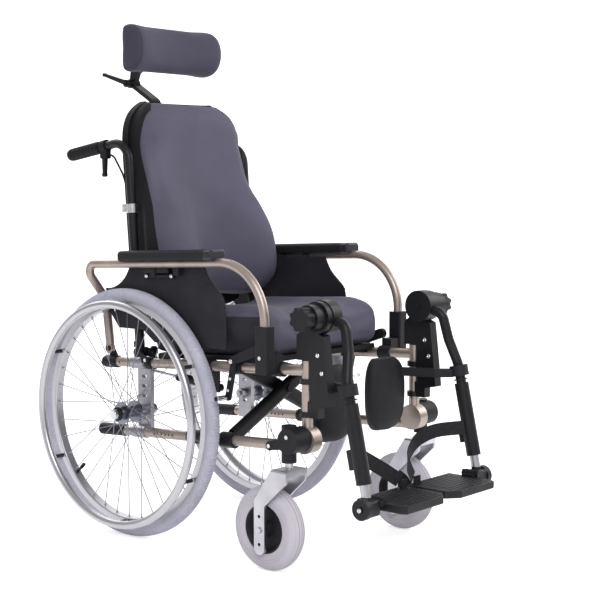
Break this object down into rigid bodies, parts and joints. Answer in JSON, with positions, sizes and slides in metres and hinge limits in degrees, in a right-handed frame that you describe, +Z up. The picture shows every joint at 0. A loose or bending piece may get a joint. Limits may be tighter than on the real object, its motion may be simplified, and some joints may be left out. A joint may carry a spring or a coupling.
{
  "type": "reclining wheelchair",
  "caption": "Manual wheelchair with a reclining padded back, headrest, flip-up arms, hand rims, swivel casters and elevating swing-away legrests.",
  "frame": {"origin": "on the floor, midway between the sides and midway between the front edge of the footplates and the tip of the headrest's clamp lever behind", "axes": "+X to the sitter's left, -Y the way the chair faces, +Z up from the floor"},
  "size_m": [0.61, 1.129, 1.28],
  "materials": {
    "frame_paint": "satin champagne metallic",
    "black_paint": "satin black",
    "aluminium": "satin",
    "steel": "zinc bright",
    "black_plastic": "fine texture",
    "slate_fabric": "stretch cover",
    "grey_tyre": "soft grey",
    "caster_rubber": "soft grey",
    "black_rubber": "moulded",
    "strap_web": "woven",
    "band_silver": "bright"
  },
  "bodies": {
    "frame": {"side_frames": "frame_paint", "axle_plates": "aluminium", "cross_bars": "black_paint", "seat_base": "black_plastic", "seat_cushion": "slate_fabric", "caster_housings": "black_plastic", "armrest_sockets": "black_plastic", "frame_fittings": "black_plastic", "frame_bolts": "steel"},
    "back": {"back_tubes": "black_paint", "push_grips": "black_rubber", "back_cushion": "slate_fabric", "back_shell": "black_plastic", "tube_bands": "band_silver", "release_cables": "black_rubber"},
    "gas_cylinder_set": {"gas_cylinders": "black_paint"},
    "gas_rod_set": {"gas_rods": "steel"},
    "headrest_mast": {"headrest_post": "black_paint"},
    "headrest_link": {"headrest_arm": "black_plastic"},
    "headrest": {"headrest_plate": "black_plastic", "headrest_pad": "slate_fabric"},
    "headrest_clamp": {"headrest_lever": "black_plastic"},
    "release_lever_left": {"release_lever_left": "black_plastic"},
    "armrest_left": {"armrest_tube_left": "frame_paint", "armrest_pad_left": "black_plastic", "skirt_guard_left": "black_plastic"},
    "brake_left": {"brake_lever_left": "black_plastic"},
    "rear_wheel_left": {"rear_tyre_left": "grey_tyre", "rear_rim_left": "aluminium", "rear_hub_left": "steel"},
    "axle_button_left": {"quick_release_button_left": "aluminium"},
    "caster_fork_left": {"caster_fork_left": "aluminium"},
    "caster_wheel_left": {"caster_tyre_left": "caster_rubber", "caster_rim_left": "black_plastic"},
    "leg_hanger_left": {"leg_hanger_left": "black_paint"},
    "leg_left": {"leg_tube_left": "black_paint"},
    "knob_left": {"leg_knob_left": "black_plastic"},
    "calf_left": {"calf_pad_left": "black_plastic"},
    "foot_left": {"foot_tube_left": "aluminium", "heel_strap_left": "strap_web"},
    "footplate_left": {"footplate_left": "black_plastic"},
    "release_lever_right": {"release_lever_right": "black_plastic"},
    "armrest_right": {"armrest_tube_right": "frame_paint", "armrest_pad_right": "black_plastic", "skirt_guard_right": "black_plastic"},
    "brake_right": {"brake_lever_right": "black_plastic"},
    "rear_wheel_right": {"rear_tyre_right": "grey_tyre", "rear_rim_right": "aluminium", "rear_hub_right": "steel"},
    "axle_button_right": {"quick_release_button_right": "aluminium"},
    "caster_fork_right": {"caster_fork_right": "aluminium"},
    "caster_wheel_right": {"caster_tyre_right": "caster_rubber", "caster_rim_right": "black_plastic"},
    "leg_hanger_right": {"leg_hanger_right": "black_paint"},
    "leg_right": {"leg_tube_right": "black_paint"},
    "knob_right": {"leg_knob_right": "black_plastic"},
    "calf_right": {"calf_pad_right": "black_plastic"},
    "foot_right": {"foot_tube_right": "aluminium", "heel_strap_right": "strap_web"},
    "footplate_right": {"footplate_right": "black_plastic"}
  },
  "joints": [
    {"name": "back_recline", "type": "hinge", "parent": "frame", "child": "back", "pos_m": [0, 0.22751, 0.455], "axis": [-1, 0, 0], "range_deg": [0, 30]},
    {"name": "gas_cylinder_swing", "type": "hinge", "parent": "frame", "child": "gas_cylinder_set", "pos_m": [0, -0.00949, 0.385], "axis": [1, 0, 0], "range_deg": [-0.2, 0.8]},
    {"name": "gas_rod_slide", "type": "slide", "parent": "gas_cylinder_set", "child": "gas_rod_set", "axis": [0, 0.9955, 0.0943], "range_m": [-0.02522, 0.0005]},
    {"name": "headrest_height", "type": "slide", "parent": "back", "child": "headrest_mast", "axis": [0, 0.0767, 0.9971], "range_m": [0, 0.06]},
    {"name": "headrest_link_tilt", "type": "hinge", "parent": "headrest_mast", "child": "headrest_link", "pos_m": [0, 0.47151, 1.138], "axis": [1, 0, 0], "range_deg": [-15, 15]},
    {"name": "headrest_tilt", "type": "hinge", "parent": "headrest_link", "child": "headrest", "pos_m": [0, 0.39851, 1.204], "axis": [1, 0, 0], "range_deg": [-15, 15]},
    {"name": "headrest_clamp_turn", "type": "hinge", "parent": "headrest_mast", "child": "headrest_clamp", "pos_m": [0, 0.47151, 1.138], "axis": [1, 0, 0], "range_deg": [0, 60]},
    {"name": "release_squeeze_left", "type": "hinge", "parent": "back", "child": "release_lever_left", "pos_m": [0.208, 0.35313, 0.94043], "axis": [1, 0, 0], "range_deg": [0, 22], "stiffness_Nm_per_rad": 0.15, "springref_deg": -5.73},
    {"name": "armrest_flip_left", "type": "hinge", "parent": "frame", "child": "armrest_left", "pos_m": [0.204, 0.34551, 0.456], "axis": [-1, 0, 0], "range_deg": [0, 60]},
    {"name": "brake_turn_left", "type": "hinge", "parent": "frame", "child": "brake_left", "pos_m": [0.22, -0.10449, 0.462], "axis": [1, 0, 0], "range_deg": [0, 11.45]},
    {"name": "rear_wheel_spin_left", "type": "hinge", "parent": "frame", "child": "rear_wheel_left", "pos_m": [0.245, 0.23551, 0.308], "axis": [1, 0, 0], "continuous": true},
    {"name": "axle_button_press_left", "type": "slide", "parent": "frame", "child": "axle_button_left", "axis": [-1, 0, 0], "range_m": [0, 0.003], "stiffness_N_per_m": 400, "springref_m": -0.002},
    {"name": "caster_swivel_left", "type": "hinge", "parent": "frame", "child": "caster_fork_left", "pos_m": [0.25, -0.29649, 0.24], "axis": [0, 0, 1], "continuous": true},
    {"name": "caster_spin_left", "type": "hinge", "parent": "caster_fork_left", "child": "caster_wheel_left", "pos_m": [0.25, -0.23849, 0.097], "axis": [1, 0, 0], "continuous": true},
    {"name": "leg_swing_left", "type": "hinge", "parent": "frame", "child": "leg_hanger_left", "pos_m": [0.203, -0.31049, 0.4], "axis": [0, 0, 1], "range_deg": [0, 75]},
    {"name": "leg_elevate_left", "type": "hinge", "parent": "leg_hanger_left", "child": "leg_left", "pos_m": [0.203, -0.34449, 0.577], "axis": [-1, 0, 0], "range_deg": [0, 70]},
    {"name": "knob_turn_left", "type": "hinge", "parent": "leg_hanger_left", "child": "knob_left", "pos_m": [0.25, -0.34449, 0.577], "axis": [1, 0, 0], "continuous": true},
    {"name": "calf_swing_left", "type": "hinge", "parent": "leg_left", "child": "calf_left", "pos_m": [0.214, -0.43648, 0.418], "axis": [0, 0.2164, 0.9763], "range_deg": [0, 45]},
    {"name": "foot_length_left", "type": "slide", "parent": "leg_left", "child": "foot_left", "axis": [0, -0.2164, -0.9763], "range_m": [0, 0.08], "deforming": ["heel_strap_left"]},
    {"name": "footplate_flip_left", "type": "hinge", "parent": "foot_left", "child": "footplate_left", "pos_m": [0.186, -0.49057, 0.186], "axis": [0, 1, 0], "range_deg": [0, 88], "deforming": ["heel_strap_left"]},
    {"name": "release_squeeze_right", "type": "hinge", "parent": "back", "child": "release_lever_right", "pos_m": [-0.208, 0.35313, 0.94043], "axis": [1, 0, 0], "range_deg": [0, 22], "stiffness_Nm_per_rad": 0.15, "springref_deg": -5.73},
    {"name": "armrest_flip_right", "type": "hinge", "parent": "frame", "child": "armrest_right", "pos_m": [-0.204, 0.34551, 0.456], "axis": [-1, 0, 0], "range_deg": [0, 60]},
    {"name": "brake_turn_right", "type": "hinge", "parent": "frame", "child": "brake_right", "pos_m": [-0.22, -0.10449, 0.462], "axis": [1, 0, 0], "range_deg": [0, 11.45]},
    {"name": "rear_wheel_spin_right", "type": "hinge", "parent": "frame", "child": "rear_wheel_right", "pos_m": [-0.245, 0.23551, 0.308], "axis": [1, 0, 0], "continuous": true},
    {"name": "axle_button_press_right", "type": "slide", "parent": "frame", "child": "axle_button_right", "axis": [1, 0, 0], "range_m": [0, 0.003], "stiffness_N_per_m": 400, "springref_m": -0.002},
    {"name": "caster_swivel_right", "type": "hinge", "parent": "frame", "child": "caster_fork_right", "pos_m": [-0.25, -0.29649, 0.24], "axis": [0, 0, 1], "continuous": true},
    {"name": "caster_spin_right", "type": "hinge", "parent": "caster_fork_right", "child": "caster_wheel_right", "pos_m": [-0.25, -0.23849, 0.097], "axis": [1, 0, 0], "continuous": true},
    {"name": "leg_swing_right", "type": "hinge", "parent": "frame", "child": "leg_hanger_right", "pos_m": [-0.203, -0.31049, 0.4], "axis": [0, 0, -1], "range_deg": [0, 75]},
    {"name": "leg_elevate_right", "type": "hinge", "parent": "leg_hanger_right", "child": "leg_right", "pos_m": [-0.203, -0.34449, 0.577], "axis": [-1, 0, 0], "range_deg": [0, 70]},
    {"name": "knob_turn_right", "type": "hinge", "parent": "leg_hanger_right", "child": "knob_right", "pos_m": [-0.25, -0.34449, 0.577], "axis": [1, 0, 0], "continuous": true},
    {"name": "calf_swing_right", "type": "hinge", "parent": "leg_right", "child": "calf_right", "pos_m": [-0.214, -0.43648, 0.418], "axis": [0, -0.2164, -0.9763], "range_deg": [0, 45]},
    {"name": "foot_length_right", "type": "slide", "parent": "leg_right", "child": "foot_right", "axis": [0, -0.2164, -0.9763], "range_m": [0, 0.08], "deforming": ["heel_strap_right"]},
    {"name": "footplate_flip_right", "type": "hinge", "parent": "foot_right", "child": "footplate_right", "pos_m": [-0.186, -0.49057, 0.186], "axis": [0, -1, 0], "range_deg": [0, 88], "deforming": ["heel_strap_right"]}
  ],
  "couplings": [
    {"joint": "gas_cylinder_swing", "follows": "back_recline", "ratio": 0.019825},
    {"joint": "gas_rod_slide", "follows": "back_recline", "m_per_rad": -0.047219}
  ]
}
